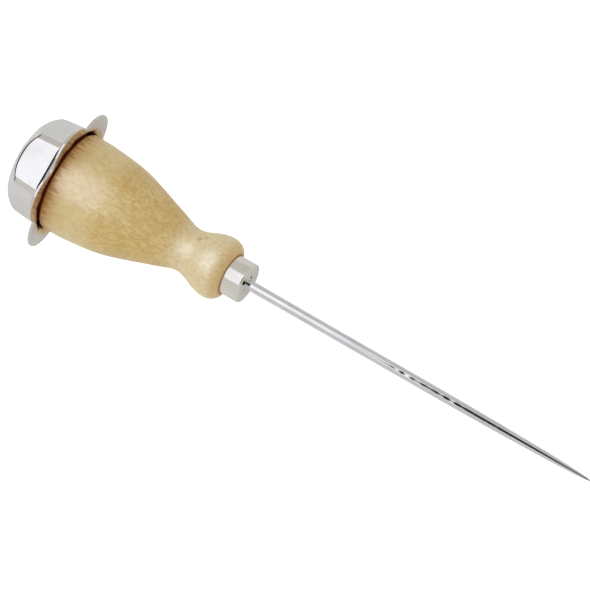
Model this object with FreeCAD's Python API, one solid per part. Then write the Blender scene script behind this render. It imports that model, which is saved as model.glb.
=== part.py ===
import FreeCAD, Part
import math
import os

# Scratch awl: a turned wooden handle with a pressed hexagonal steel cap at the butt, a plated
# ferrule at the front and a round steel blade ground to a long point.
# Frame: the origin is on the tool's axis at the ferrule's front face, where the blade comes out.
# +X runs along the axis towards the tip and +Z goes up through one flat of the cap, so two
# corners of the cap, and two lobes of its flange, point along +Y and -Y. Sizes are millimetres.

# Blade
BLADE_R = 1.6               # 1/8 inch rod
BLADE_REACH = 120.5         # ferrule face to tip
PARALLEL_LENGTH = 59.6      # ferrule face to the start of the taper
OGIVE_SEMI_AXIS = 61.7      # the taper is the end of a long ellipse
POINT_LENGTH = 2.0          # short cone that finishes the taper
TANG_DEPTH = 48.0           # how far the rod goes into the tool behind the ferrule face
TANG_END_CHAMFER = 0.5
WING_START = 11.0           # the rod is swaged flat from here, measured back from the ferrule face
WING_END = 23.0
WING_RUN = 3.0              # length of each change from round to flat
WING_HALF_WIDTH = 2.5
STAKE_GROOVE_R = 1.4        # groove under the ferrule's front, which the staked rim closes into

# Ferrule
FERRULE_R = 6.35            # 1/2 inch
FERRULE_LENGTH = 6.2
FERRULE_WALL = 0.6
FERRULE_FRONT_ROUND = 0.7
FERRULE_REAR_ROUND = 0.2
FERRULE_HOLE_ROUND = 0.3    # turned-in edge of the blade's hole
STAKE_COUNT = 3             # punch marks that close the front of the ferrule onto the blade
STAKE_PITCH_R = 2.3
STAKE_R = 0.5
STAKE_DEPTH = 0.4

# Handle outline, from the bead behind the ferrule to the shoulder at the cap
BEAD_X = -10.4
BEAD_R = 9.95
BEAD_FRONT_R = 6.6          # where the bead's rounded front starts, just proud of the ferrule
BEAD_BACK = (-15.3, 8.86)
NECK_APPROACH = (-18.2, 7.67)
NECK = (-21.2, 7.1)
NECK_FLARE = (-25.2, 8.08)
BELLY_RISE = (-31.5, 10.2)
BELLY_MIDDLE = (-40.0, 12.98)
BELLY_SWELL = (-48.0, 14.84)
BELLY_TOP = (-55.5, 15.66)
SHOULDER_X = -63.5
SHOULDER_R = 15.88          # 1-1/4 inch across the shoulder
SHOULDER_ROUND = 1.1
TENON_R = FERRULE_R - FERRULE_WALL
GLUE_BORE_R = 2.7
GLUE_BORE_DEPTH = 24.0      # both bore depths are measured back from the ferrule face
PILOT_BORE_DEPTH = 49.0

# Cap: a drawn cup with a round-cornered hexagonal wall, a domed end and a lobed flange
CAP_SHEET = 0.8
CAP_FRONT_X = -64.25        # the flange's face towards the tip
CAP_DEPTH = 15.25
CAP_APOTHEM = 14.8          # axis to the outside of a flat, at the flange's face
CAP_CORNER_R = 3.0
CAP_DRAFT_DEG = 5.0
CAP_END_R = 6.3             # flat disc in the middle of the domed end
DOME_R = 11.7
DOME_EDGE_ROUND = 2.0
FLANGE_BEND_R = 2.2         # outside of the cup to the back of the flange
FLANGE_EDGE_ROUND = 0.15
LOBE_COUNT = 6
LOBE_R = 9.5
LOBE_OFFSET = 13.0          # axis to the centre of a lobe's arc
LOBE_VALLEY_R = 1.5

# Wooden spigot inside the cap; the adhesive fills the cap beyond its end
SPIGOT_MOUTH_R = 14.5
SPIGOT_TIP_R = 13.6
SPIGOT_END_X = -76.5
SPIGOT_CHAMFER = 1.6

CAP_END_X = CAP_FRONT_X - CAP_DEPTH
SAME_PLANE = 0.01           # stations closer than this are one plane
ORIGIN = FreeCAD.Vector(0, 0, 0)
AXIS = FreeCAD.Vector(1, 0, 0)


# ---- outlines and turned solids --------------------------------------------------------------

def at(x, r):
    """A point of a turned outline: station along the axis and radius."""
    return FreeCAD.Vector(x, 0, r)


def polyline(points):
    return [Part.makeLine(a, b) for a, b in zip(points, points[1:])]


def arc(centre, radius, start_deg, end_deg):
    """A round arc of an outline; 0 degrees points to the tip and 90 away from the axis."""
    angles = [math.radians(a) for a in (start_deg, (start_deg + end_deg) / 2, end_deg)]
    points = [at(centre.x + radius * math.cos(a), centre.z + radius * math.sin(a)) for a in angles]
    return Part.Arc(*points).toShape()


def long_arc(centre, along_r, outward_r, start_deg, end_deg):
    """An arc of an ellipse that is longer along the axis, with its angles as in arc."""
    along = at(centre.x + along_r, centre.z)
    outward = at(centre.x, centre.z + outward_r)
    ellipse = Part.Ellipse(along, outward, centre)
    return Part.ArcOfEllipse(ellipse, math.radians(start_deg), math.radians(end_deg)).toShape()


def ends(edge):
    """The two ends of an edge, the one nearer the tip first."""
    return sorted((v.Point for v in edge.Vertexes), key=lambda p: -p.x)


def turn(edges):
    """The solid made by turning a closed outline about the tool's axis."""
    wire = Part.Wire(Part.__sortEdges__(edges))
    return Part.Face(wire).revolve(ORIGIN, AXIS, 360)


def rod(radius, front_x, back_x):
    """A cylinder on the axis between two stations."""
    return Part.makeCylinder(radius, front_x - back_x, at(back_x, 0), AXIS)


def behind(x):
    """The space between x and the butt."""
    return rod(2 * SHOULDER_R, x, CAP_END_X)


# ---- blade -----------------------------------------------------------------------------------

def blade_shank():
    """The rod from the wings to the tip: groove, parallel part, elliptical taper, then a cone."""
    run = BLADE_REACH - POINT_LENGTH - PARALLEL_LENGTH
    taper_end_deg = math.degrees(math.acos(run / OGIVE_SEMI_AXIS))
    taper = long_arc(at(PARALLEL_LENGTH, 0), OGIVE_SEMI_AXIS, BLADE_R, taper_end_deg, 90)
    front, back = ends(taper)
    straight = polyline([back, at(0, BLADE_R), at(0, STAKE_GROOVE_R),
                         at(-FERRULE_WALL, STAKE_GROOVE_R), at(-FERRULE_WALL, BLADE_R),
                         at(-WING_START, BLADE_R), at(-WING_START, 0),
                         at(BLADE_REACH, 0), front])
    return turn(straight + [taper])


def rod_section(depth, half_width):
    """The rod's outline at a depth behind the ferrule face; swaging keeps its area."""
    if half_width == BLADE_R:
        return Part.Wire(Part.makeCircle(BLADE_R, at(-depth, 0), AXIS))
    wide = FreeCAD.Vector(-depth, half_width, 0)
    thin = FreeCAD.Vector(-depth, 0, BLADE_R ** 2 / half_width)
    return Part.Wire(Part.Ellipse(wide, thin, at(-depth, 0)).toShape())


def blade_wings():
    """The swaged flat that stops the blade turning or pulling out."""
    flat_start = WING_START + WING_RUN
    flat_end = WING_END - WING_RUN
    sections = [rod_section(WING_START, BLADE_R),
                rod_section(flat_start, WING_HALF_WIDTH),
                rod_section(flat_end, WING_HALF_WIDTH),
                rod_section(WING_END, BLADE_R)]
    return Part.makeLoft(sections, True, True)


def blade_tail():
    tail_x = -TANG_DEPTH
    return turn(polyline([at(-WING_END, 0), at(-WING_END, BLADE_R),
                          at(tail_x + TANG_END_CHAMFER, BLADE_R),
                          at(tail_x, BLADE_R - TANG_END_CHAMFER),
                          at(tail_x, 0), at(-WING_END, 0)]))


def blade():
    return blade_shank().multiFuse([blade_wings(), blade_tail()])


# ---- ferrule ---------------------------------------------------------------------------------

def across_axis(edge):
    """Does the edge lie in one plane across the axis?"""
    return edge.BoundBox.XLength < SAME_PLANE


def rim_edges(shape, x):
    """The closed edges that lie in the plane at x."""
    return [e for e in shape.Edges
            if e.Closed and across_axis(e) and abs(e.BoundBox.XMin - x) < SAME_PLANE]


def ferrule():
    """A short drawn cup, open to the wood, with the blade's hole in its front."""
    cup = rod(FERRULE_R, 0, -FERRULE_LENGTH)
    cup = cup.makeFillet(FERRULE_FRONT_ROUND, rim_edges(cup, 0))
    cup = cup.makeFillet(FERRULE_REAR_ROUND, rim_edges(cup, -FERRULE_LENGTH))
    cup = cup.cut(rod(TENON_R, -FERRULE_WALL, -FERRULE_LENGTH))
    cup = cup.cut(rod(STAKE_GROOVE_R, 0, -FERRULE_WALL))
    hole = [e for e in rim_edges(cup, 0) if e.Curve.Radius < BLADE_R]
    cup = cup.makeFillet(FERRULE_HOLE_ROUND, hole)
    for i in range(STAKE_COUNT):
        stake = Part.makeCone(STAKE_R, 0, STAKE_DEPTH, at(0, STAKE_PITCH_R), -AXIS)
        stake.rotate(ORIGIN, AXIS, 360.0 / STAKE_COUNT * i)
        cup = cup.cut(stake)
    return cup


# ---- cap -------------------------------------------------------------------------------------

def around(x, radius, angle_deg):
    """A point at a radius from the axis; 0 degrees is +Z and 90 is +Y."""
    angle = math.radians(angle_deg)
    return FreeCAD.Vector(x, radius * math.sin(angle), radius * math.cos(angle))


def hexagonal_taper(inset):
    """The cup's six drafted flats and round corners as a solid; inset is in from the outside."""
    size = 6 * CAP_DEPTH
    form = rod(size / 2, CAP_FRONT_X, CAP_END_X)
    for i in range(6):
        waste = Part.makeBox(size, size, size, FreeCAD.Vector(-size / 2, -size / 2, 0))
        waste.rotate(ORIGIN, FreeCAD.Vector(0, 1, 0), -CAP_DRAFT_DEG)
        waste.translate(at(CAP_FRONT_X, CAP_APOTHEM - inset))
        waste.rotate(ORIGIN, AXIS, 60 * i)
        form = form.cut(waste)
    return form.makeFillet(CAP_CORNER_R - inset, [e for e in form.Edges if not across_axis(e)])


def dome(inset):
    """The turned form of the cap's closed end, from the flat disc out past the corners."""
    curve = arc(at(CAP_END_X + DOME_R, CAP_END_R), DOME_R - inset, 90, 180)
    front, back = ends(curve)
    return turn([curve] + polyline([back, at(back.x, 0), at(0, 0), at(0, front.z), front]))


def cup_form(inset):
    """Walls and dome together, with the crest where they meet rounded."""
    form = hexagonal_taper(inset).common(dome(inset))
    domed = [f for f in form.Faces if isinstance(f.Surface, Part.SurfaceOfRevolution)]
    crest = [e for f in domed for e in f.Edges
             if all(math.hypot(v.Y, v.Z) > 1.5 * CAP_END_R for v in e.Vertexes)]
    return form.makeFillet(DOME_EDGE_ROUND - inset, crest)


def flange():
    """The lobed plate around the cup's mouth."""
    step_deg = 360.0 / LOBE_COUNT
    half_step = math.radians(step_deg / 2)
    to_valley = LOBE_R + LOBE_VALLEY_R
    valley_centre_r = LOBE_OFFSET * math.cos(half_step) \
        + math.sqrt(to_valley ** 2 - (LOBE_OFFSET * math.sin(half_step)) ** 2)
    edges = []
    for i in range(LOBE_COUNT):
        lobe_deg = step_deg * (i + 0.5)
        valley_deg = lobe_deg + step_deg / 2
        lobe_centre = around(CAP_FRONT_X, LOBE_OFFSET, lobe_deg)
        tip = around(CAP_FRONT_X, LOBE_OFFSET + LOBE_R, lobe_deg)
        dip = around(CAP_FRONT_X, valley_centre_r - LOBE_VALLEY_R, valley_deg)
        to_next = around(CAP_FRONT_X, valley_centre_r, valley_deg) - lobe_centre
        to_last = around(CAP_FRONT_X, valley_centre_r, valley_deg - step_deg) - lobe_centre
        start = lobe_centre + to_last * (LOBE_R / to_valley)
        end = lobe_centre + to_next * (LOBE_R / to_valley)
        next_start = FreeCAD.Rotation(AXIS, -step_deg).multVec(start)
        edges.append(Part.Arc(start, tip, end).toShape())
        edges.append(Part.Arc(end, dip, next_start).toShape())
    plate = Part.Face(Part.Wire(edges)).extrude(-AXIS * CAP_SHEET)
    return plate.makeFillet(FLANGE_EDGE_ROUND, [e for e in plate.Edges if across_axis(e)])


def mouth_edges(shape, x):
    """The edges around the cup's mouth in the plane at x, without the flange's own outline."""
    reach = CAP_APOTHEM / math.cos(math.radians(30))
    return [e for e in shape.Edges
            if across_axis(e) and abs(e.BoundBox.XMin - x) < SAME_PLANE
            and all(math.hypot(v.Y, v.Z) < reach for v in e.Vertexes)]


def cap():
    """Cup and flange in one sheet, with the bend between them rounded on both sides."""
    shell = cup_form(0).fuse(flange()).removeSplitter()
    shell = shell.makeFillet(FLANGE_BEND_R, mouth_edges(shell, CAP_FRONT_X - CAP_SHEET))
    shell = shell.cut(cup_form(CAP_SHEET))
    return shell.makeFillet(FLANGE_BEND_R + CAP_SHEET, mouth_edges(shell, CAP_FRONT_X))


# ---- handle ----------------------------------------------------------------------------------

def handle_body():
    """The turned outline: tenon, bead, neck, belly and shoulder, and the spigot's blank."""
    front = long_arc(at(BEAD_X, BEAD_FRONT_R), -FERRULE_LENGTH - BEAD_X,
                     BEAD_R - BEAD_FRONT_R, 0, 90)
    through = [(BEAD_X, BEAD_R), BEAD_BACK, NECK_APPROACH, NECK, NECK_FLARE, BELLY_RISE,
               BELLY_MIDDLE, BELLY_SWELL, BELLY_TOP, (SHOULDER_X, SHOULDER_R)]
    belly = Part.BSplineCurve()
    belly.interpolate(Points=[at(x, r) for x, r in through],
                      InitialTangent=-AXIS, FinalTangent=-AXIS)
    shoulder = arc(at(SHOULDER_X, SHOULDER_R - SHOULDER_ROUND), SHOULDER_ROUND, 90, 180)
    tenon = polyline([ends(front)[0], at(-FERRULE_LENGTH, TENON_R), at(-FERRULE_WALL, TENON_R),
                      at(-FERRULE_WALL, 0)])
    spigot = polyline([ends(shoulder)[1],
                       at(CAP_FRONT_X - FLANGE_BEND_R, SPIGOT_MOUTH_R),
                       at(SPIGOT_END_X + SPIGOT_CHAMFER, SPIGOT_TIP_R),
                       at(SPIGOT_END_X, SPIGOT_TIP_R - SPIGOT_CHAMFER),
                       at(SPIGOT_END_X, 0), at(-FERRULE_WALL, 0)])
    return turn([front, belly.toShape(), shoulder] + tenon + spigot)


def handle():
    """The turned body, squeezed to the cap's flats behind the flange, with the tang's bores."""
    body = handle_body()
    body = body.cut(behind(CAP_FRONT_X).cut(hexagonal_taper(CAP_SHEET)))
    body = body.cut(rod(GLUE_BORE_R, 0, -GLUE_BORE_DEPTH))
    return body.cut(rod(BLADE_R, 0, -PILOT_BORE_DEPTH))


# ---- adhesives -------------------------------------------------------------------------------

def tang_adhesive():
    """Epoxy that fills the front bore around the tang."""
    return rod(GLUE_BORE_R, -FERRULE_WALL, -GLUE_BORE_DEPTH).cut(blade())


def cap_adhesive():
    """Epoxy between the spigot's end and the inside of the cap's dome."""
    return cup_form(CAP_SHEET).common(behind(SPIGOT_END_X))


os.makedirs("parts", exist_ok=True)
PIECES = {
    "handle": handle,
    "blade": blade,
    "ferrule": ferrule,
    "cap": cap,
    "tang_adhesive": tang_adhesive,
    "cap_adhesive": cap_adhesive,
}
for node, make in PIECES.items():
    make().exportStep(os.path.join("parts", node + ".step"))
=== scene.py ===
import math

import bpy
import numpy as np
from mathutils import Matrix, Vector


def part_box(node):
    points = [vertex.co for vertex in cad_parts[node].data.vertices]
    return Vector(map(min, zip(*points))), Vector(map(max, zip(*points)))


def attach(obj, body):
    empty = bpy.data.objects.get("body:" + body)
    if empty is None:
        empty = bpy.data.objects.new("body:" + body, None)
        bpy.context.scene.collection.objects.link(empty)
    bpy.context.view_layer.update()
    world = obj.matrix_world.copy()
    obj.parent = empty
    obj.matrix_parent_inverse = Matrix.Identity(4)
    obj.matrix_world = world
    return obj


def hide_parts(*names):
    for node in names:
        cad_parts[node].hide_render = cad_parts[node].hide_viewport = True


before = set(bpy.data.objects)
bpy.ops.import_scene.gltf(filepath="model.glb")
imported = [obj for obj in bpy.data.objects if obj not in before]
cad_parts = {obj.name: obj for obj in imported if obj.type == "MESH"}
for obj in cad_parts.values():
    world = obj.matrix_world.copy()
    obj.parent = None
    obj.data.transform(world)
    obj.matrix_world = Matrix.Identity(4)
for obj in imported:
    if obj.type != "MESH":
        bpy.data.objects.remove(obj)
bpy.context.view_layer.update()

# The frame is in metres: +X runs along the tool to the tip, +Z goes up through a flat of the cap
# and +Y through a corner of it. The tool's sizes here are in mm and the studio's in metres.
MM = 0.001

CAP_END_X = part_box("cap")[0].x / MM
FLANGE_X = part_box("cap")[1].x / MM
FERRULE_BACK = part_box("ferrule")[0].x / MM
FERRULE_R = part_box("ferrule")[1].y / MM

APART = 0.03                        # two rings of a surface come no closer than this
ROD_COLUMNS = 96
ROUND_COLUMNS = 240


# ---- meshes ----------------------------------------------------------------------------------

def in_scene(name, data):
    thing = bpy.data.objects.new(name, data)
    bpy.context.scene.collection.objects.link(thing)
    return thing


def make_piece(name, vertices, faces, material, node, sharp_deg=40):
    """Builds a closed, smoothly shaded mesh and lets it stand for its CAD node."""
    mesh = bpy.data.meshes.new(name)
    mesh.from_pydata([tuple(v) for v in vertices], [], faces)
    mesh.validate()
    piece = in_scene(name, mesh)
    mesh.polygons.foreach_set("use_smooth", [True] * len(mesh.polygons))
    mesh.set_sharp_from_angle(angle=math.radians(sharp_deg))
    mesh.materials.append(material)
    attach(piece, "root")
    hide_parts(node)
    return piece


def ring_at(x, r, angles):
    """Points at x and a distance r from the axis, at angles from +Z towards +Y."""
    return np.stack([np.broadcast_to(x, angles.shape), r * np.sin(angles), r * np.cos(angles)], 1)


def skin(rings, first_pole, last_pole):
    """Joins equal rings of points into a closed surface that ends in a point at each end."""
    rows, columns = len(rings), len(rings[0])
    vertices = [p for ring in rings for p in ring] + [first_pole, last_pole]
    first, last = rows * columns, rows * columns + 1
    end = (rows - 1) * columns
    faces = []
    for row in range(rows - 1):
        for column in range(columns):
            across = (column + 1) % columns
            a, b = row * columns + column, row * columns + across
            faces.append((a, b, b + columns, a + columns))
    for column in range(columns):
        across = (column + 1) % columns
        faces.append((first, across, column))
        faces.append((last, end + column, end + across))
    return vertices, faces


def turned(outline, columns, shape):
    """A turned surface from (x, radius) points in mm, with the material on the outline's left.

    The first and last points are on the axis. shape takes a ring's x, radius and angle arrays
    and returns its x, y and z, which is how a ring is squeezed, dented or flattened.
    """
    angles = np.linspace(0, 2 * math.pi, columns, endpoint=False)
    rings = []
    for x, r in outline[1:-1]:
        xs, rs = np.full(columns, float(x)), np.full(columns, float(r))
        rings.append(np.stack(shape(xs, rs, angles), 1) * MM)
    poles = [(outline[i][0] * MM, 0, 0) for i in (0, -1)]
    return skin(rings, *poles)


def turned_loop(outline, columns, shape):
    """A turned surface whose outline is a closed loop that never reaches the axis."""
    padded = [(0, 0)] + outline + [(0, 0)]
    vertices, faces = turned(padded, columns, shape)
    rows = len(outline)
    vertices = vertices[:-2]
    faces = [f for f in faces if max(f) < rows * columns]
    last = (rows - 1) * columns
    for column in range(columns):
        across = (column + 1) % columns
        faces.append((last + column, last + across, across, column))
    return vertices, faces


def arc_points(x, r, radius, start_deg, end_deg, steps):
    """Points of an arc in an outline; 0 degrees points to the tip and 90 away from the axis."""
    angles = np.radians(np.linspace(start_deg, end_deg, steps))
    return [(x + radius * math.cos(a), r + radius * math.sin(a)) for a in angles]


def run_of(start, end, steps):
    """Evenly spaced outline points from start to end, both included."""
    return [tuple(p) for p in np.linspace(start, end, steps)]


def cad_outline(node, low_x, high_x, inside_r, steps):
    """The outer outline of a turned CAD node between two stations in mm, tip end first.

    Points nearer the axis than inside_r belong to its bores and are left out; the rest are
    spaced evenly along the outline's length.
    """
    closest = 0.05
    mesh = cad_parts[node].data
    co = np.zeros(len(mesh.vertices) * 3)
    mesh.vertices.foreach_get("co", co)
    co = co.reshape(-1, 3) / MM
    x, r = co[:, 0], np.hypot(co[:, 1], co[:, 2])
    keep = (x > low_x) & (x < high_x) & (r > inside_r)
    points = np.unique(np.round(np.stack([-x[keep], r[keep]], 1), 3), axis=0) * (-1, 1)
    far = np.append(True, np.hypot(*np.diff(points, axis=0).T) > closest)
    points = points[far]
    length = np.append(0, np.cumsum(np.hypot(*np.diff(points, axis=0).T)))
    even = np.linspace(0, length[-1], steps)
    return [tuple(p) for p in np.stack([np.interp(even, length, c) for c in points.T], 1)]


# ---- node helpers ----------------------------------------------------------------------------

def connect(tree, node, inputs):
    """Fills inputs; each socket's name or number maps to a value or to another socket."""
    for key, value in inputs.items():
        if isinstance(value, bpy.types.NodeSocket):
            tree.links.new(value, node.inputs[key])
        else:
            node.inputs[key].default_value = value


def add(tree, kind, inputs=None, **settings):
    node = tree.nodes.new(kind)
    for key, value in settings.items():
        setattr(node, key, value)
    connect(tree, node, inputs or {})
    return node


def find(tree, kind):
    return next(n for n in tree.nodes if n.type == kind)


def maths(tree, operation, *values):
    return add(tree, "ShaderNodeMath", dict(enumerate(values)), operation=operation).outputs[0]


def ramp(tree, value, low, high):
    """0 below low and 1 above high, with a smooth rise between; low may be above high."""
    limits = {"Value": value, "From Min": low, "From Max": high}
    return add(tree, "ShaderNodeMapRange", limits, interpolation_type="SMOOTHSTEP").outputs[0]


def blend(tree, factor, first, second):
    """Colour first where factor is 0 and second where it is 1."""
    colours = {0: factor, 6: first, 7: second}      # a mix node's colour sockets are 6, 7 and 2
    return add(tree, "ShaderNodeMix", colours, data_type="RGBA").outputs[2]


def srgb(red, green, blue):
    """A colour given as 0 to 255 display values, as linear RGBA."""
    def linear(v):
        v = v / 255
        return v / 12.92 if v <= 0.04045 else ((v + 0.055) / 1.055) ** 2.4
    return (linear(red), linear(green), linear(blue), 1)


def coat(tree, under, amount, strength, display):
    """The colour under, with a display colour over it by amount times strength."""
    return blend(tree, maths(tree, "MULTIPLY", amount, strength), under, srgb(*display))


def stretched(tree, along, across, offset=(0, 0, 0)):
    """Object coordinates with different detail per mm along the tool and across it."""
    place = add(tree, "ShaderNodeTexCoord").outputs["Object"]
    scale = (along / MM, across / MM, across / MM)
    settings = {"Vector": place, "Scale": scale, "Location": offset}
    return add(tree, "ShaderNodeMapping", settings).outputs[0]


def noise(tree, vector, detail, roughness=0.55):
    settings = {"Vector": vector, "Scale": 1.0, "Detail": detail, "Roughness": roughness}
    return add(tree, "ShaderNodeTexNoise", settings).outputs[0]


def tool_mm(tree):
    """Distances in mm along the tool's axis and away from it."""
    place = add(tree, "ShaderNodeTexCoord").outputs["Object"]
    parts = add(tree, "ShaderNodeSeparateXYZ", {0: place}).outputs
    flat = add(tree, "ShaderNodeCombineXYZ", {"Y": parts[1], "Z": parts[2]}).outputs[0]
    length = add(tree, "ShaderNodeVectorMath", {0: flat}, operation="LENGTH").outputs["Value"]
    return maths(tree, "DIVIDE", parts[0], MM), maths(tree, "DIVIDE", length, MM)


def bump(tree, height, strength, distance_mm):
    settings = {"Height": height, "Strength": strength, "Distance": distance_mm * MM}
    return add(tree, "ShaderNodeBump", settings).outputs[0]


# ---- materials -------------------------------------------------------------------------------

def new_material(name):
    material = bpy.data.materials.new(name)
    material.use_nodes = True
    tree = material.node_tree
    tree.nodes.clear()
    shader = add(tree, "ShaderNodeBsdfPrincipled")
    add(tree, "ShaderNodeOutputMaterial", {"Surface": shader.outputs[0]})
    return material, tree, shader


def metal(name, tint, roughness, spread, scratch_along, scratch_across, relief_mm):
    """Plated or polished metal: fine directional scratches change its roughness and relief."""
    material, tree, shader = new_material(name)
    scratches = noise(tree, stretched(tree, scratch_along, scratch_across), detail=5)
    clouds = noise(tree, stretched(tree, 0.12, 0.12, (3, 1, 7)), detail=2)
    darker = tuple(0.9 * c for c in tint[:3]) + (1,)
    rough = maths(tree, "MULTIPLY_ADD", scratches, spread, roughness - spread / 2)
    rough = maths(tree, "MULTIPLY_ADD", clouds, spread / 2, rough)
    connect(tree, shader, {
        "Base Color": blend(tree, ramp(tree, clouds, 0.35, 0.75), tint, darker),
        "Metallic": 1.0,
        "Roughness": rough,
        "Normal": bump(tree, scratches, 0.35, relief_mm),
    })
    return material


def tinge(tree, amount, colour):
    """Blends a colour into the one that a metal already has, where amount is above 0."""
    shader = find(tree, "BSDF_PRINCIPLED")
    present = shader.inputs["Base Color"].links[0].from_socket
    connect(tree, shader, {"Base Color": blend(tree, amount, present, colour)})


def grime_and_shade(tree, amount, colour, more_rough, less_specular):
    """Covers a metal with a matt dark colour where amount is 1: painted shade, with grime too in
    the punch marks.
    """
    tinge(tree, amount, colour)
    shader = find(tree, "BSDF_PRINCIPLED")
    rough = shader.inputs["Roughness"].links[0].from_socket
    connect(tree, shader, {
        "Metallic": maths(tree, "SUBTRACT", 1.0, amount),
        "Roughness": maths(tree, "MULTIPLY_ADD", amount, more_rough, rough),
        "Specular IOR Level": maths(tree, "MULTIPLY_ADD", amount, -less_specular, 0.5),
    })


def epoxy():
    material, tree, shader = new_material("cured_epoxy")
    clouds = noise(tree, stretched(tree, 0.4, 0.4), detail=4)
    connect(tree, shader, {
        "Base Color": blend(tree, clouds, srgb(205, 170, 95), srgb(160, 120, 55)),
        "Roughness": maths(tree, "MULTIPLY_ADD", clouds, 0.2, 0.15),
        "Normal": bump(tree, clouds, 0.3, 0.1),
    })
    return material


# ---- wood ------------------------------------------------------------------------------------

PAINTED_SHEEN_NECK = (-28.0, -21.0)          # painted sheen on the neck: x where it starts, and where it is full
# painted sheen on the belly near the cap: x where it starts, and where it is full
PAINTED_SHEEN_BELLY = (-44.0, -52.0)
KNOTS = ((-17.9, 4.3, 5.9, 1.3), (-16.0, 5.1, 5.9, 1.2))     # x, y, z and size


def wood_noises(tree):
    """The wood's textures, each with its own fineness along the grain and across it."""
    return {
        "fibres": noise(tree, stretched(tree, 0.3, 1.5), detail=5, roughness=0.6),
        "figure": noise(tree, stretched(tree, 0.03, 0.16, (5, 2, 9)), detail=3),
        "mottle": noise(tree, stretched(tree, 0.28, 0.45, (1, 8, 4)), detail=4, roughness=0.6),
        "flecks": noise(tree, stretched(tree, 0.75, 1.1, (7, 3, 2)), detail=3, roughness=0.5),
        "pores": noise(tree, stretched(tree, 0.6, 5.5, (2, 6, 1)), detail=2, roughness=0.5),
    }


def grain_and_sheen_colour(tree, noises, x):
    """Pale wood with darker textures over it, and a painted sheen that makes it paler on the neck,
    bead and belly.
    """
    figure = ramp(tree, noises["figure"], 0.3, 0.7)
    colour = blend(tree, figure, srgb(233, 211, 142), srgb(227, 199, 120))
    layers = (
        ("mottle", 0.42, 0.66, 0.6, (214, 175, 94)),
        ("fibres", 0.42, 0.66, 0.6, (208, 166, 92)),
        ("flecks", 0.44, 0.62, 0.45, (205, 156, 68)),
        ("pores", 0.62, 0.75, 0.3, (160, 112, 60)),
    )
    for name, low, high, strength, display in layers:
        colour = coat(tree, colour, ramp(tree, noises[name], low, high), strength, display)
    # painted sheen: paler wood on the neck and bead, patchy with the flecks, fainter on the belly;
    # srgb(246, 234, 194) is its colour
    patchy = maths(tree, "MULTIPLY_ADD", noises["flecks"], -0.9, 1.08)
    neck = maths(tree, "MULTIPLY", ramp(tree, x, *PAINTED_SHEEN_NECK), patchy)
    belly = maths(tree, "MULTIPLY", ramp(tree, x, *PAINTED_SHEEN_BELLY), 0.3)
    return blend(tree, maths(tree, "MAXIMUM", neck, belly), colour, srgb(246, 234, 194))


def cap_stain_and_shade(tree, colour, x, rim):
    """End stain at the cap, a golden band and brown streaks of uneven length, and a dark red rim
    that is stain and painted shade of the crevice at the flange.
    """
    streaks = noise(tree, stretched(tree, 0.05, 1.0, (9, 4, 3)), detail=3, roughness=0.65)
    reach = maths(tree, "MULTIPLY_ADD", streaks, 12.0, FLANGE_X - 4.4)
    stain = ramp(tree, maths(tree, "SUBTRACT", x, reach), 0.9, -1.1)
    gold = ramp(tree, x, FLANGE_X + 7.5, FLANGE_X + 1.5)
    colour = coat(tree, colour, gold, 0.55, (216, 162, 62))
    colour = coat(tree, colour, stain, 0.75, (176, 106, 18))
    # the rim: stain, and painted shade where the wood meets the flange
    return coat(tree, colour, rim, 0.9, (140, 36, 34))


def bead_stain(tree, colour, x, corner):
    """Warm front of the bead, darkest in the corner against the ferrule."""
    warm = ramp(tree, x, FERRULE_BACK - 3.6, FERRULE_BACK - 0.6)
    colour = coat(tree, colour, warm, 0.5, (222, 174, 76))
    return coat(tree, colour, corner, 0.7, (204, 124, 12))


def knots(tree, colour):
    """Two small knots beside each other on the neck."""
    place = add(tree, "ShaderNodeTexCoord").outputs["Object"]
    for *knot, knot_r in KNOTS:
        centre = [c * MM for c in knot]
        away = add(tree, "ShaderNodeVectorMath", {0: place, 1: centre}, operation="DISTANCE")
        away = maths(tree, "DIVIDE", away.outputs["Value"], MM)
        colour = coat(tree, colour, ramp(tree, away, knot_r, 0.3 * knot_r), 0.55, (176, 108, 26))
    return colour


def wood():
    """Pale fine-grained hardwood, turned and lacquered, stained where metal meets it, with a
    painted sheen on the neck and belly and painted shade at the cap's flange.
    """
    material, tree, shader = new_material("lacquered_wood")
    x, off_axis = tool_mm(tree)
    # the last half mm of wood at the flange, which gets painted shade of the crevice along with its
    # stain
    rim = ramp(tree, x, FLANGE_X + 0.5, FLANGE_X)
    corner = ramp(tree, off_axis, FERRULE_R + 0.9, FERRULE_R + 0.3)
    noises = wood_noises(tree)
    colour = grain_and_sheen_colour(tree, noises, x)
    colour = cap_stain_and_shade(tree, colour, x, rim)
    colour = bead_stain(tree, colour, x, corner)
    pits = maths(tree, "MULTIPLY", noises["pores"], -0.5)
    relief = maths(tree, "MULTIPLY_ADD", noises["fibres"], 0.6, pits)
    connect(tree, shader, {
        "Base Color": knots(tree, colour),
        "Roughness": maths(tree, "MULTIPLY_ADD", noises["fibres"], 0.2, 0.38),
        "Specular IOR Level": 0.4,
        "Coat Weight": maths(tree, "SUBTRACT", 1.0, maths(tree, "MAXIMUM", corner, rim)),
        "Coat Roughness": 0.36,
        "Coat IOR": 1.5,
        "Normal": bump(tree, relief, 0.35, 0.03),
        "Coat Normal": bump(tree, noises["mottle"], 0.25, 0.05),
    })
    return material


# ---- blade -----------------------------------------------------------------------------------

FERRULE_SHEET = 0.6
STAKED_R = 1.4                      # the ferrule's hole, and the groove in the blade that it fills
WING_ENDS, WING_RUN = (-11.0, -23.0), 3.0
TAIL_CHAMFER = 0.5
GRIND_START, GRIND_RUN = 49.0, 6.0  # x where the ground waves begin, and how far they build up
GRIND_WAVE, GRIND_DEPTH = 3.9, 0.011


def grinding(x):
    """Depth of the faint waves that hand grinding leaves on the taper."""
    share = min(max((x - GRIND_START) / GRIND_RUN, 0.0), 1.0)
    uneven = 0.6 + 0.4 * math.sin(0.37 * x)
    return GRIND_DEPTH * share * uneven * (0.5 + 0.5 * math.sin(2 * math.pi * x / GRIND_WAVE))


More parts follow.
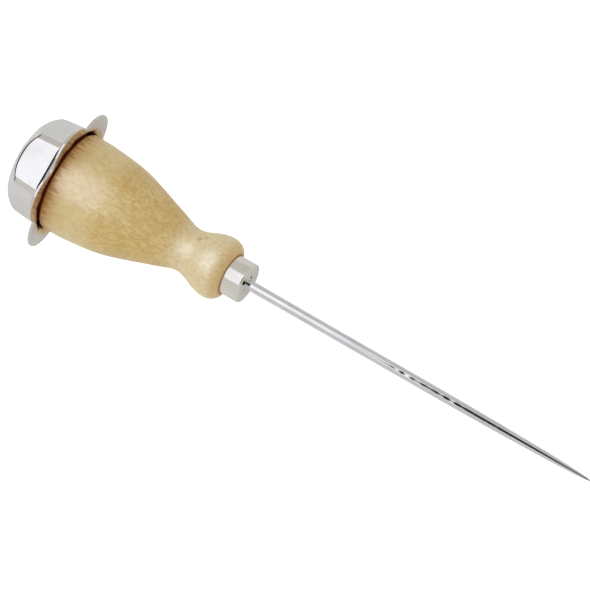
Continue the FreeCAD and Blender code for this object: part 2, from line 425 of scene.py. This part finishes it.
def build_blade():
    """The rod: staking groove, swaged wings and tang behind, long hand-ground taper in front."""
    low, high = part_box("blade")
    reach, tail = high.x / MM, low.x / MM
    radius, wing_half_width = high.z / MM, high.y / MM
    front = cad_outline("blade", 1.0, reach - 0.001, 0.001, 900)
    front += run_of(front[-1], (GRIND_START, radius), 80)[1:]
    front = [(x, r - grinding(x)) for x, r in front]
    outline = [(reach, 0)] + front + [(0, radius), (0, STAKED_R)]
    outline += [(-FERRULE_SHEET, STAKED_R), (-FERRULE_SHEET, radius)]
    outline += run_of((WING_ENDS[0], radius), (WING_ENDS[1], radius), 40)
    outline += [(tail + TAIL_CHAMFER, radius), (tail, radius - TAIL_CHAMFER), (tail, 0)]

    def swage(xs, rs, angles):
        """Flattens the rod into wings without changing its section's area."""
        inside = min(WING_ENDS[0] - xs[0], xs[0] - WING_ENDS[1])
        share = min(max(inside / WING_RUN, 0.0), 1.0)
        share = share * share * (3 - 2 * share)
        wide = 1 + (wing_half_width / radius - 1) * share
        return xs, rs * np.sin(angles) * wide, rs * np.cos(angles) / wide

    steel = metal("ground_steel", (0.79, 0.80, 0.84, 1), 0.05, 0.03, 6.0, 1.2, 0.001)
    vertices, faces = turned(outline, ROD_COLUMNS, swage)
    return make_piece("blade_ground", vertices, faces, steel, "blade")


# ---- ferrule ---------------------------------------------------------------------------------

FRONT_ROUND, REAR_ROUND, HOLE_ROUND = 0.45, 0.2, 0.3
DRAFT = 0.04                        # the rear edge's radius is this much smaller
BESIDE = 0.2                        # points this far from a corner keep its shading crisp

# y, z, half width, half height, depth and darkness of each punch mark on the ferrule's face; the
# darkness paints shade in the dent, with grime
PUNCH_MARKS = ((-0.35, 4.25, 0.7, 1.5, 0.4, 1.0), (2.2, 0.5, 0.4, 0.8, 0.3, 0.85),
               (-2.15, 0.5, 0.3, 0.6, 0.2, 0.5))


def ferrule_outline():
    """A closed loop round the cup's sheet: hole, face, side, rear edge and inside."""
    inner = FERRULE_R - FERRULE_SHEET
    rear_r = FERRULE_R - DRAFT
    rear_x = FERRULE_BACK + REAR_ROUND
    outline = run_of((-FERRULE_SHEET, STAKED_R), (-HOLE_ROUND, STAKED_R), 3)
    outline += arc_points(-HOLE_ROUND, STAKED_R + HOLE_ROUND, HOLE_ROUND, -75, 0, 6)
    outline += run_of((0, STAKED_R + HOLE_ROUND + APART), (0, FERRULE_R - FRONT_ROUND), 44)
    outline += arc_points(-FRONT_ROUND, FERRULE_R - FRONT_ROUND, FRONT_ROUND, 5, 90, 16)
    outline += run_of((-FRONT_ROUND - BESIDE, FERRULE_R), (rear_x, rear_r), 14)
    outline += arc_points(rear_x, rear_r - REAR_ROUND, REAR_ROUND, 105, 180, 6)
    outline += [(FERRULE_BACK, inner), (FERRULE_BACK + BESIDE, inner)]
    outline += [(-FERRULE_SHEET - BESIDE, inner), (-FERRULE_SHEET, inner - BESIDE)]
    return outline + [(-FERRULE_SHEET, STAKED_R + BESIDE)]


def build_ferrule():
    """The drawn cup, with the edge of its hole turned in and punch marks on its face."""
    face_depth, steepness = 0.05, 1.4

    def stake(xs, rs, angles):
        """Dents the face's rings where the punch marks are."""
        ys, zs = rs * np.sin(angles), rs * np.cos(angles)
        if xs[0] > -face_depth:
            for y, z, wide, tall, depth, _ in PUNCH_MARKS:
                away = np.hypot((ys - y) / wide, (zs - z) / tall)
                xs = xs - depth * np.clip(steepness - steepness * away, 0, 1)
        return xs, ys, zs

    vertices, faces = turned_loop(ferrule_outline(), ROUND_COLUMNS, stake)
    plate = metal("satin_nickel", (0.83, 0.815, 0.78, 1), 0.11, 0.04, 0.6, 3.0, 0.002)
    # painted shade and grime in the punch marks
    shade_and_grime_in_marks(plate)
    return make_piece("ferrule_plated", vertices, faces, plate, "ferrule", 50)


def shade_and_grime_in_marks(plate):
    """Darkens the punch marks with painted shade in their dents, and old grime."""
    tree = plate.node_tree
    place = add(tree, "ShaderNodeTexCoord").outputs["Object"]
    rag = noise(tree, stretched(tree, 1.5, 1.5), detail=2)
    dark = 0.0
    for y, z, wide, tall, _, darkness in PUNCH_MARKS:
        centre = (0, -y / wide, -z / tall)
        scale = (1 / MM, 1 / (wide * MM), 1 / (tall * MM))
        away = add(tree, "ShaderNodeMapping", {"Vector": place, "Scale": scale, "Location": centre})
        away = add(tree, "ShaderNodeVectorMath", {0: away.outputs[0]}, operation="LENGTH")
        away = maths(tree, "MULTIPLY_ADD", rag, 0.5, away.outputs["Value"])
        mark = maths(tree, "MULTIPLY", ramp(tree, away, 1.45, 1.05), darkness)
        dark = maths(tree, "MAXIMUM", dark, mark)
    grime_and_shade(tree, dark, srgb(24, 20, 16), 0.7, 0.5)


# ---- cap -------------------------------------------------------------------------------------

SIXTH = math.pi / 3                 # the cap has six flats and six lobes
CAP_SHEET = 0.8
CAP_APOTHEM = 14.8
CAP_CORNER_R = 3.0
CAP_SLOPE = math.tan(math.radians(5.0))
CAP_END_R = 6.3
CREST_R = 2.0
DOME_R, CORNER_DOME_R = 12.5, 11.7  # the dome and the bend are tighter round the cup's corners
BEND_R, CORNER_BEND_R = 3.4, 1.4
DOME_EASING, BEND_EASING = (12, 28), (22, 30)   # degrees from a flat's middle where that happens
LOBE_R, LOBE_OFFSET, VALLEY_R = 9.5, 13.0, 1.5
LOBE_TRIM = 0.01                    # keeps the edge inside the CAD's
RIM_R = 0.15
PAINTED_REFLECTION_R = 18.1                       # painted golden reflection of the wood on the flange's face reaches this far out
PAINTED_REFLECTION_SOFT = 0.5

FLAT_POINTS = 26                    # on each flat, and round each corner with its two ends
END_RINGS, DOME_RINGS, CREST_RINGS = 10, 21, 13
WALL_RINGS, BEND_RINGS, FLANGE_RINGS = 13, 17, 13


def fold(angles):
    """Angle from the nearest flat's middle, from -30 to 30 degrees, and that flat's number."""
    flat = np.round(angles / SIXTH)
    return angles - flat * SIXTH, flat


def half_flat(apothem, corner_r):
    """Half the length of a flat between its corners' rounds."""
    return (apothem - corner_r) * math.tan(SIXTH / 2)


def hexagon_radius(angles, apothem, corner_r):
    """Axis to the wall of a round-cornered hexagon that has a flat at angle 0."""
    near = np.abs(fold(angles)[0])
    corner_centre = (apothem - corner_r) / math.cos(SIXTH / 2)
    off_corner = SIXTH / 2 - near
    on_flat = apothem / np.cos(near)
    on_corner = corner_centre * np.cos(off_corner) \
        + np.sqrt(corner_r ** 2 - (corner_centre * np.sin(off_corner)) ** 2)
    return np.where(on_flat * np.sin(near) <= half_flat(apothem, corner_r), on_flat, on_corner)


def hexagon_normal(angles, apothem, corner_r):
    """Direction, as an angle, that the hexagon's wall faces at each angle round the axis."""
    near, flat = fold(angles)
    r = hexagon_radius(angles, apothem, corner_r)
    beyond = np.abs(r * np.sin(near)) - half_flat(apothem, corner_r)
    turn = np.arctan2(np.maximum(beyond, 0), r * np.cos(near) - (apothem - corner_r))
    return flat * SIXTH + np.sign(near) * turn


def lobe_radius(angles):
    """Axis to the flange's edge: six round lobes with small round valleys between them."""
    near = np.abs(angles / SIXTH - np.floor(angles / SIXTH) - 0.5) * SIXTH
    to_valley = LOBE_R + VALLEY_R
    valley_centre = LOBE_OFFSET * math.cos(SIXTH / 2) \
        + math.sqrt(to_valley ** 2 - (LOBE_OFFSET * math.sin(SIXTH / 2)) ** 2)
    on_lobe = LOBE_OFFSET * np.cos(near) \
        + np.sqrt(LOBE_R ** 2 - (LOBE_OFFSET * np.sin(near)) ** 2)
    off_valley = SIXTH / 2 - near
    under = np.maximum(VALLEY_R ** 2 - (valley_centre * np.sin(off_valley)) ** 2, 0)
    in_valley = valley_centre * np.cos(off_valley) - np.sqrt(under)
    lobe_centre = np.array([LOBE_OFFSET, 0.0])
    valley_at = valley_centre * np.array([math.cos(SIXTH / 2), math.sin(SIXTH / 2)])
    meet = lobe_centre + (valley_at - lobe_centre) * LOBE_R / to_valley
    return np.where(near < math.atan2(meet[1], meet[0]), on_lobe, in_valley) - LOBE_TRIM


def cap_columns():
    """Angles round the cap: even steps on the flats and close ones round the corners."""
    half = half_flat(CAP_APOTHEM, CAP_CORNER_R)
    flat = np.arctan2(np.linspace(-half, half, FLAT_POINTS), CAP_APOTHEM)
    turns = np.radians(np.linspace(0, 60, FLAT_POINTS)[1:-1])
    corner = np.arctan2(half + CAP_CORNER_R * np.sin(turns),
                        CAP_APOTHEM - CAP_CORNER_R + CAP_CORNER_R * np.cos(turns))
    sixth = np.concatenate([flat, corner])
    return np.concatenate([sixth + i * SIXTH for i in range(6)])


def eased(angles, on_flat, on_corner, easing):
    """Goes smoothly from one value on the flats to another on the corners."""
    start, end = easing
    near = np.degrees(np.abs(fold(angles)[0]))
    share = np.clip((near - start) / (end - start), 0, 1)
    return on_flat + (on_corner - on_flat) * (share ** 2 * (3 - 2 * share))


def shares(count):
    """Even steps up to 1, without the 0 that they start from."""
    return np.linspace(0, 1, count + 1)[1:]


def crest_and_dome(slope, wall_r, dome_r):
    """For one column: the crest's centre, and the angles where it leaves the wall and the dome.

    The column's section is a wall line r = wall_r + slope * (x - FLANGE_X) and the dome's arc.
    The crest touches both, and its centre is where the two would meet if offset by its radius.
    """
    halvings = 50
    tilt = math.atan(slope)
    dome_x = CAP_END_X + dome_r
    line_r = wall_r - CREST_R / math.cos(tilt)
    low, high = CAP_END_X, dome_x
    for _ in range(halvings):
        x = (low + high) / 2
        r = line_r + slope * (x - FLANGE_X)
        outside = math.hypot(x - dome_x, r - CAP_END_R) > dome_r - CREST_R
        low, high = (x, high) if outside else (low, x)
    r = line_r + slope * (x - FLANGE_X)
    return x, r, math.pi / 2 + tilt, math.atan2(r - CAP_END_R, x - dome_x)


def cap_end(angles):
    """Outer rings of the flat middle of the end, the dome round it and the crest."""
    wall_r = hexagon_radius(angles, CAP_APOTHEM, CAP_CORNER_R)
    end_apothem = CAP_APOTHEM + CAP_SLOPE * (CAP_END_X - FLANGE_X)
    end_r = hexagon_radius(angles, end_apothem, CAP_CORNER_R)
    slopes = (wall_r - end_r) / (FLANGE_X - CAP_END_X)
    dome_r = eased(angles, DOME_R, CORNER_DOME_R, DOME_EASING)
    crests = [crest_and_dome(*column) for column in zip(slopes, wall_r, dome_r)]
    crest_x, crest_r, wall_turn, dome_turn = np.array(crests).T
    rings = [ring_at(CAP_END_X, CAP_END_R * s, angles) for s in np.linspace(0.12, 1, END_RINGS)]
    for share in shares(DOME_RINGS):
        turn = math.pi + (dome_turn - math.pi) * share
        rings.append(ring_at(CAP_END_X + dome_r + dome_r * np.cos(turn),
                             CAP_END_R + dome_r * np.sin(turn), angles))
    for share in shares(CREST_RINGS):
        turn = dome_turn + (wall_turn - dome_turn) * share
        rings.append(ring_at(crest_x + CREST_R * np.cos(turn),
                             crest_r + CREST_R * np.sin(turn), angles))
    return rings


def cap_bend(angles):
    """The wall's last outer ring, and the rings of the bend from the wall to the flange.

    The bend turns about a centre outside the wall, square to the wall at each column. Its arc
    starts a little behind the wall's end, so its first ring lies up to 0.3 mm back from there.
    """
    tilt = math.atan(CAP_SLOPE)
    bend_r = eased(angles, BEND_R, CORNER_BEND_R, BEND_EASING)
    bend_x = FLANGE_X - CAP_SHEET - bend_r
    bend_out = bend_r / math.cos(tilt) + CAP_SLOPE * (bend_x - FLANGE_X)
    wall = ring_at(0, hexagon_radius(angles, CAP_APOTHEM, CAP_CORNER_R), angles)
    facing = ring_at(0, 1, hexagon_normal(angles, CAP_APOTHEM, CAP_CORNER_R))

    def beyond(x, along):
        """Points in the plane at x, a distance along the wall's outward direction."""
        points = wall + facing * np.reshape(along, (-1, 1))
        points[:, 0] = x
        return points

    wall_end = beyond(bend_x + bend_r * math.sin(tilt), bend_out - bend_r * math.cos(tilt))
    turns = np.linspace(math.pi + tilt, math.pi / 2, BEND_RINGS + 1)[1:]
    return wall_end, [beyond(bend_x + bend_r * math.sin(turn), bend_out + bend_r * math.cos(turn))
                      for turn in turns]


def cap_outside():
    """The sheet's outer side as rings, from the middle of its end to the flange's edge."""
    angles = cap_columns()
    rings = cap_end(angles)
    wall_end, bend = cap_bend(angles)
    start = rings[-1]
    rings += [start + (wall_end - start) * share for share in shares(WALL_RINGS)]
    rings += bend
    plate = rings[-1]
    plate_at = np.arctan2(plate[:, 1], plate[:, 2]) % (2 * math.pi)
    edge = ring_at(plate[:, 0], lobe_radius(plate_at) - RIM_R, plate_at)
    rings += [plate + (edge - plate) * share for share in shares(FLANGE_RINGS)]
    return np.array(rings)


def cap_rim(edge):
    """Rings round the sheet's edge, from its outer side to its inner side."""
    out = ring_at(0, 1, np.arctan2(edge[:, 1], edge[:, 2]))
    half = [(RIM_R * math.sin(a), RIM_R * (1 - math.cos(a))) for a in np.radians([30, 60, 90])]
    half.append((RIM_R, RIM_R + APART))
    rim = []
    for outwards, forwards in half + [(o, CAP_SHEET - f) for o, f in half[::-1]]:
        ring = edge + out * outwards
        ring[:, 0] += forwards
        rim.append(ring)
    return rim


def surface_normals(surface):
    """Outward unit normals of a grid of rings that is closed round its columns."""
    round_it = np.roll(surface, -1, 1) - np.roll(surface, 1, 1)
    along = np.gradient(surface, axis=0)
    normals = np.cross(along, round_it)
    return normals / np.linalg.norm(normals, axis=2, keepdims=True)


def build_cap():
    """The pressed cap as one sheet: domed end, hexagonal wall, bend and lobed flange."""
    outside = cap_outside()
    inside = outside - surface_normals(outside) * CAP_SHEET
    inside[:END_RINGS, :, 0] = CAP_END_X + CAP_SHEET
    rim = cap_rim(outside[-1])
    rings = [ring * MM for ring in list(outside) + rim + list(inside[::-1])]
    vertices, faces = skin(rings, (CAP_END_X * MM, 0, 0), ((CAP_END_X + CAP_SHEET) * MM, 0, 0))
    nickel = metal("bright_nickel", (0.79, 0.785, 0.78, 1), 0.05, 0.04, 1.5, 1.5, 0.0012)
    piece = make_piece("cap_pressed", vertices, faces, nickel, "cap", 60)
    # the cap's inside gets a painted reflection of the wood on the flange and painted shade in the
    # mouth
    piece.data.materials.append(reflection_and_shade_inside(nickel))
    first_inside = (len(outside) + len(rim) - 1) * outside.shape[1]
    for polygon in piece.data.polygons:
        if min(polygon.vertices) >= first_inside:
            polygon.material_index = 1
    return piece


def reflection_and_shade_inside(plate):
    """The plate for the cap's inside: a painted golden reflection of the wood on the flange, and
    painted dark shade in the mouth.
    """
    material = plate.copy()
    material.name = "cap_inside"
    tree = material.node_tree
    x, off_axis = tool_mm(tree)
    # painted reflection: the flange's face near the wood is tinted golden
    wood_reflection = ramp(tree, off_axis, PAINTED_REFLECTION_R + PAINTED_REFLECTION_SOFT, PAINTED_REFLECTION_R - PAINTED_REFLECTION_SOFT)
    tinge(tree, maths(tree, "MULTIPLY", wood_reflection, 0.6), srgb(236, 200, 120))
    # painted shade: the sheet inside the mouth, behind the flange, turns dark brown and matt
    edge = noise(tree, stretched(tree, 0.8, 0.8), detail=3)
    crevice_shade = ramp(tree, maths(tree, "MULTIPLY_ADD", edge, 0.3, x), FLANGE_X - 0.5, FLANGE_X - 0.85)
    grime_and_shade(tree, crevice_shade, srgb(62, 26, 20), 0.6, 0.4)
    return material


# ---- handle ----------------------------------------------------------------------------------

GLUE_R, GLUE_X = 2.7, -24.0         # the bore for the tang and its glue, and the bore's end
PILOT_R, PILOT_X = 1.6, -49.0       # the narrower bore behind it
SHOULDER_ROUND, SHOULDER_AHEAD = 1.1, 0.75      # its centre is this far ahead of the flange
MOUTH_R, MOUTH_BACK = 14.5, 2.2     # the spigot where it enters the cap's cup
SPIGOT_TIP_R, SPIGOT_CHAMFER = 13.6, 1.6


def build_handle():
    """The turned handle with its tenon, bores and shoulder, and the spigot inside the cap."""
    low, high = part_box("handle")
    end_x, tenon_x = low.x / MM, high.x / MM
    shoulder_r = high.y / MM
    tenon_r = FERRULE_R + tenon_x
    round_x = FLANGE_X + SHOULDER_AHEAD
    outline = [(PILOT_X, 0)] + run_of((PILOT_X, PILOT_R), (GLUE_X, PILOT_R), 12)
    outline += run_of((GLUE_X, GLUE_R), (tenon_x, GLUE_R), 12)
    outline += run_of((tenon_x, tenon_r), (FERRULE_BACK, tenon_r), 4)
    outline += cad_outline("handle", round_x, FERRULE_BACK + 0.001, tenon_r + 0.5, 420)
    outline += arc_points(round_x, shoulder_r - SHOULDER_ROUND, SHOULDER_ROUND, 97, 180, 10)
    outline += run_of((FLANGE_X - MOUTH_BACK, MOUTH_R), (end_x + SPIGOT_CHAMFER, SPIGOT_TIP_R), 12)
    outline += [(end_x, SPIGOT_TIP_R - SPIGOT_CHAMFER), (end_x, 0)]

    def squeeze(xs, rs, angles):
        """Keeps the spigot inside the cap's flats."""
        if xs[0] < FLANGE_X and rs[0] > GLUE_R:
            apothem = CAP_APOTHEM - CAP_SHEET + CAP_SLOPE * (xs[0] - FLANGE_X)
            rs = np.minimum(rs, hexagon_radius(angles, apothem, CAP_CORNER_R - CAP_SHEET))
        return xs, rs * np.sin(angles), rs * np.cos(angles)

    vertices, faces = turned(outline, ROUND_COLUMNS, squeeze)
    return make_piece("handle_turned", vertices, faces, wood(), "handle", 35)


# ---- camera and floor ------------------------------------------------------------------------

VIEW_TILT = math.radians(15.6)      # the tip leans towards the camera by this much
VIEW_ROLL = math.radians(29.85)     # the tool runs down to the right by this much
LENS = 450
SENSOR = 36
PICTURE_WIDTH = 0.1748              # what the picture spans at the tool
AIM = (0.0139, -0.0032)             # the picture's middle, right of and above the origin

TO_CAMERA = Vector((math.sin(VIEW_TILT), 0, math.cos(VIEW_TILT)))
ALONG = Vector((math.cos(VIEW_TILT), 0, -math.sin(VIEW_TILT)))
ACROSS = Vector((0, 1, 0))
RIGHT = math.cos(VIEW_ROLL) * ALONG + math.sin(VIEW_ROLL) * ACROSS
UP = math.cos(VIEW_ROLL) * ACROSS - math.sin(VIEW_ROLL) * ALONG
CAMERA_AT = AIM[0] * RIGHT + AIM[1] * UP + TO_CAMERA * (PICTURE_WIDTH * LENS / SENSOR)

FLOOR_HALF, FLOOR_STEPS = 2.5, 12
FLOOR_GAP = 0.0002                  # the floor lies this far under the tool
FLOOR_GLOW = 0.06                   # seen by everything
FLOOR_GLOW_TO_CAMERA = 0.75         # added for the camera


def build_camera():
    data = bpy.data.cameras.new("camera")
    data.lens, data.sensor_width = LENS, SENSOR
    data.clip_start, data.clip_end = 0.05, 20
    camera = in_scene("camera", data)
    place = Matrix((RIGHT, UP, TO_CAMERA)).transposed().to_4x4()
    place.translation = CAMERA_AT
    camera.matrix_world = place
    bpy.context.scene.camera = camera


def build_floor():
    """A pale floor under the tool, which lies on its tip and two lobes of its flange."""
    cap_low, cap_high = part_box("cap")
    tip_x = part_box("blade")[1].x
    slope = math.atan2(-cap_low.z, tip_x - cap_high.x)
    spread = np.linspace(-FLOOR_HALF, FLOOR_HALF, FLOOR_STEPS)
    vertices = [(x, y, 0) for x in spread for y in spread]
    corners = [i * FLOOR_STEPS + j for i in range(FLOOR_STEPS - 1) for j in range(FLOOR_STEPS - 1)]
    faces = [(c, c + FLOOR_STEPS, c + FLOOR_STEPS + 1, c + 1) for c in corners]
    mesh = bpy.data.meshes.new("floor")
    mesh.from_pydata(vertices, [], faces)
    mesh.materials.append(floor_material())
    floor = in_scene("floor", mesh)
    floor.rotation_euler = (0, -slope, 0)
    floor.location = (tip_x, 0, -FLOOR_GAP)


def floor_material():
    """Matt white that glows a little to the camera, like a lit table, and hides from below."""
    material, tree, shader = new_material("pale_floor")
    grain = noise(tree, stretched(tree, 0.05, 0.05), detail=3)
    to_camera = add(tree, "ShaderNodeLightPath").outputs["Is Camera Ray"]
    glow = maths(tree, "MULTIPLY_ADD", to_camera, FLOOR_GLOW_TO_CAMERA, FLOOR_GLOW)
    connect(tree, shader, {
        "Base Color": blend(tree, grain, (0.855, 0.86, 0.87, 1), (0.885, 0.89, 0.90, 1)),
        "Roughness": 0.9,
        "Specular IOR Level": 0.1,
        "Emission Color": (0.96, 0.98, 1, 1),
        "Emission Strength": glow,
    })
    clear = add(tree, "ShaderNodeBsdfTransparent")
    behind = add(tree, "ShaderNodeNewGeometry").outputs["Backfacing"]
    hidden = maths(tree, "MULTIPLY", behind, to_camera)
    pick = add(tree, "ShaderNodeMixShader", {0: hidden, 1: shader.outputs[0], 2: clear.outputs[0]})
    connect(tree, find(tree, "OUTPUT_MATERIAL"), {"Surface": pick.outputs[0]})
    return material


# ---- lights ----------------------------------------------------------------------------------

FILL_AT = (-0.8, -0.12, 0.9)
FILL_SIZE = 2.4
FILL_RADIANCE = 0.6
HIGHLIGHT_RISE, HIGHLIGHT_AWAY = 24.0, 1.2
HIGHLIGHT_LONG, HIGHLIGHT_WIDE = 1.4, 1.5
HIGHLIGHT_RADIANCE = 2.5
HIGHLIGHT_COLOUR = (0.78, 0.93, 1.25)

# The world is drawn by direction, in degrees. A direction's rise is its angle from +Z towards
# the butt, and its side is its angle out of the tool's upright plane.
LINE_START_X = 0.041                # the dark line on the blade begins here
LINE_EDGE = 0.15                    # the softbox and the strip below it have sharp edges
SOFTBOX_TOP, SOFTBOX_SIDE, SOFTBOX_EDGE = 54.0, 13.0, 2.5
CROSSBAR_TOP, CROSSBAR_SIDE, CROSSBAR_EDGE = 21.5, 29.0, 5.5    # its foot is wider than the rest
CROSSBAR_TOP_EDGE = 1.0
STRIP_DEPTH, STRIP_SIDE, STRIP_EDGE = 36.0, 25.0, 3.0   # dark strip under it, round the camera
BEYOND_BUTT, BEYOND_EDGE = (54.0, 82.0), 4.0            # dark end of the room
BEYOND_SIDE = (50.0, 40.0)              # sides where that has faded out and where it is full
SOFTBOX = (1.17, 1.16, 1.21, 1)
ROOM = (0.70, 0.68, 0.63, 1)
ROOM_PLUS_Y = (0.61, 0.59, 0.54, 1)     # the room's darker side
ROOM_TURN = (-0.9, 0.9)                 # +Y parts of a direction between which it darkens
DARK = (0.02, 0.02, 0.02, 1)
BACKDROP = (0.985, 0.985, 0.985, 1)


def area_light(name, shape, location):
    """An area light that the camera doesn't see."""
    data = bpy.data.lights.new(name, "AREA")
    data.shape = shape
    light = in_scene(name, data)
    light.location = location
    light.visible_camera = False
    return light, data


def build_fill():
    """A broad overhead light that shapes the matt surfaces and stays out of reflections."""
    light, data = area_light("fill", "DISK", FILL_AT)
    data.size = FILL_SIZE
    data.energy = FILL_RADIANCE * math.pi * math.pi * (data.size / 2) ** 2
    light.rotation_mode = "QUATERNION"
    light.rotation_quaternion = light.location.to_track_quat("Z", "Y")
    light.visible_glossy = False


def build_highlight(handle):
    """A panel over the tool that only the handle's lacquer reflects."""
    rise = math.radians(HIGHLIGHT_RISE)
    above = HIGHLIGHT_AWAY * Vector((-math.sin(rise), 0, math.cos(rise)))
    light, data = area_light("highlight", "RECTANGLE", above)
    data.size, data.size_y = HIGHLIGHT_LONG, HIGHLIGHT_WIDE
    data.color = HIGHLIGHT_COLOUR
    data.energy = HIGHLIGHT_RADIANCE * math.pi * data.size * data.size_y
    light.rotation_euler = (0, -rise, 0)
    light.visible_diffuse = False
    only = bpy.data.collections.new("highlight_only")
    only.objects.link(handle)
    light.light_linking.receiver_collection = only


def mirror_rise(x, z):
    """The rise that the camera sees mirrored in a level surface at x and z."""
    to_eye = CAMERA_AT - Vector((x, 0, z))
    return math.degrees(math.atan2(to_eye.x, to_eye.z))


def directions(tree):
    """The rise and side of a direction in degrees, and its part along +Y."""
    direction = add(tree, "ShaderNodeTexCoord").outputs["Generated"]
    parts = add(tree, "ShaderNodeSeparateXYZ", {0: direction}).outputs
    rise = maths(tree, "ARCTAN2", maths(tree, "MULTIPLY", parts[0], -1.0), parts[2])
    side = maths(tree, "DEGREES", maths(tree, "ARCSINE", parts[1]))
    return maths(tree, "DEGREES", rise), maths(tree, "ABSOLUTE", side), parts[1]


def build_world():
    """Everything the metal reflects, by direction.

    The softbox's foot is at the rise that the blade mirrors at LINE_START_X. So its light runs
    along the blade up to there, and the dark strip under it is the dark line that follows.
    """
    world = bpy.data.worlds.new("studio")
    bpy.context.scene.world = world
    world.use_nodes = True
    tree = world.node_tree
    tree.nodes.clear()
    rise, side, along_y = directions(tree)

    def within(low, high, edge, sides):
        """1 between two rises, as far as the sides let it be."""
        up = ramp(tree, rise, low - edge, low + edge)
        down = ramp(tree, rise, high + edge, high - edge)
        return maths(tree, "MULTIPLY", maths(tree, "MULTIPLY", up, down), sides)

    softbox_foot = mirror_rise(LINE_START_X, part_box("blade")[1].z)
    strip = within(softbox_foot - STRIP_DEPTH, softbox_foot, LINE_EDGE,
                   ramp(tree, side, STRIP_SIDE + STRIP_EDGE, STRIP_SIDE - STRIP_EDGE))
    beyond = within(*BEYOND_BUTT, BEYOND_EDGE, ramp(tree, side, *BEYOND_SIDE))
    crossbar = ramp(tree, rise, CROSSBAR_TOP + CROSSBAR_TOP_EDGE, CROSSBAR_TOP - CROSSBAR_TOP_EDGE)
    half_width = maths(tree, "MULTIPLY_ADD", crossbar, CROSSBAR_SIDE - SOFTBOX_SIDE, SOFTBOX_SIDE)
    edge = maths(tree, "MULTIPLY_ADD", crossbar, CROSSBAR_EDGE - SOFTBOX_EDGE, SOFTBOX_EDGE)
    inside = maths(tree, "SUBTRACT", half_width, side)
    box = within(softbox_foot, SOFTBOX_TOP, LINE_EDGE,
                 ramp(tree, inside, maths(tree, "MULTIPLY", edge, -1.0), edge))

    colour = blend(tree, ramp(tree, along_y, *ROOM_TURN), ROOM, ROOM_PLUS_Y)
    for amount, thing in ((strip, DARK), (beyond, DARK), (box, SOFTBOX)):
        colour = blend(tree, amount, colour, thing)
    seen = add(tree, "ShaderNodeLightPath").outputs["Is Camera Ray"]
    colour = blend(tree, seen, colour, BACKDROP)
    shade = add(tree, "ShaderNodeBackground", {"Color": colour, "Strength": 1.0})
    add(tree, "ShaderNodeOutputWorld", {"Surface": shade.outputs[0]})


HANDLE = build_handle()
build_blade()
build_ferrule()
build_cap()
EPOXY = epoxy()
for hidden in ("tang_adhesive", "cap_adhesive"):
    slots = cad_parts[hidden].data.materials
    slots.clear()
    slots.append(EPOXY)
build_camera()
build_floor()
build_fill()
build_highlight(HANDLE)
build_world()
bpy.context.scene.view_settings.view_transform = "Standard"
